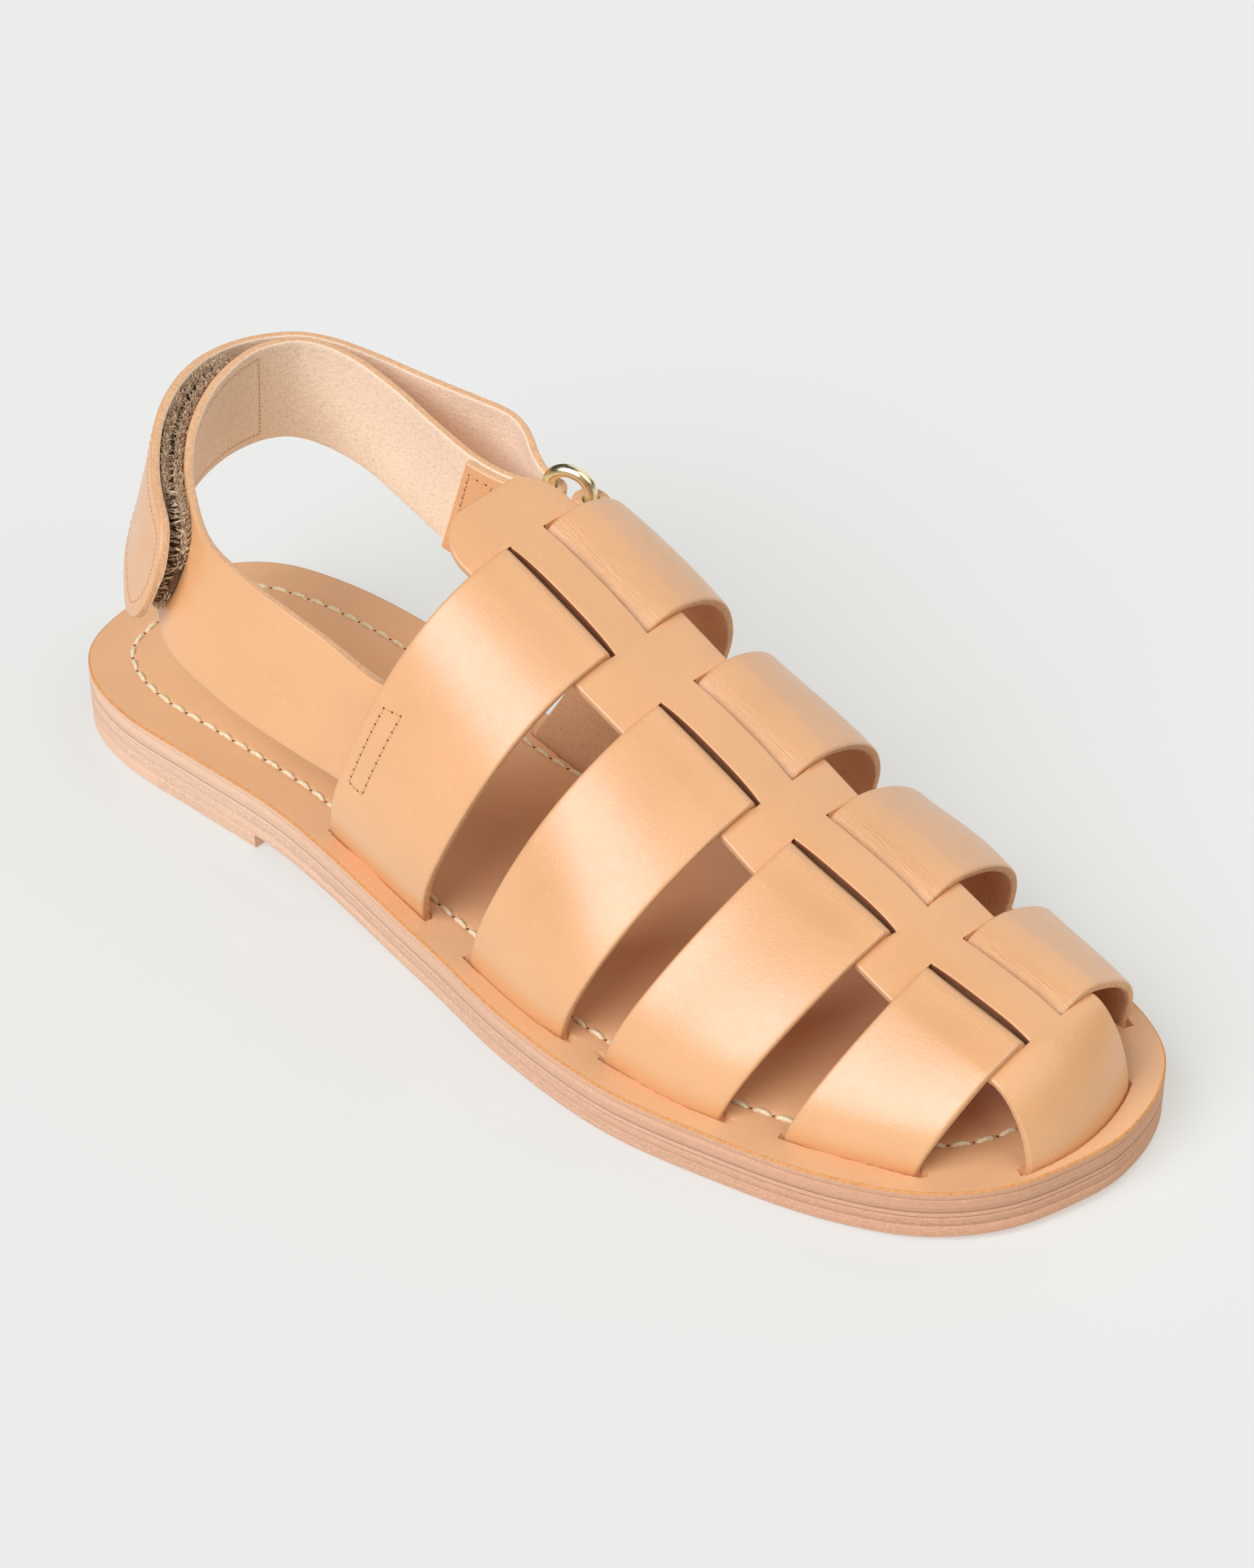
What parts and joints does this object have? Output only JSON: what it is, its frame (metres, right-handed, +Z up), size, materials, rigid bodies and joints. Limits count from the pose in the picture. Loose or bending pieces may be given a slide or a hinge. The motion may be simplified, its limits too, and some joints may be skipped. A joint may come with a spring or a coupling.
{
  "type": "caged leather sandal",
  "caption": "Right-foot tan leather fisherman sandal with a woven caged upper, slingback strap, oval brass ring and low stacked leather sole",
  "frame": {"origin": "centre of the bounding box at floor level", "axes": "+X runs from heel to toe, +Y to the medial side (the left of this right shoe), +Z up from the floor"},
  "size_m": [0.2616, 0.1006, 0.0846],
  "materials": {
    "tan_leather": "smooth vegetable-tanned grain, soft sheen",
    "sole_leather": "matt cut edge with lengthwise fibres",
    "tip_leather": "matt, smoother and lighter than the lift",
    "fastener_pad": "short fuzzy pile",
    "ring_brass": "polished"
  },
  "bodies": {
    "root": {"outsole": "sole_leather", "midsole": "sole_leather", "insole": "tan_leather", "heel_lift": "sole_leather", "heel_tip": "tip_leather", "upper": "tan_leather", "heel_strap_inner": "tan_leather", "heel_strap_outer": "tan_leather", "hook_pad": "fastener_pad", "loop_pad": "fastener_pad", "ring": "ring_brass", "ring_tab": "tan_leather"}
  },
  "joints": []
}
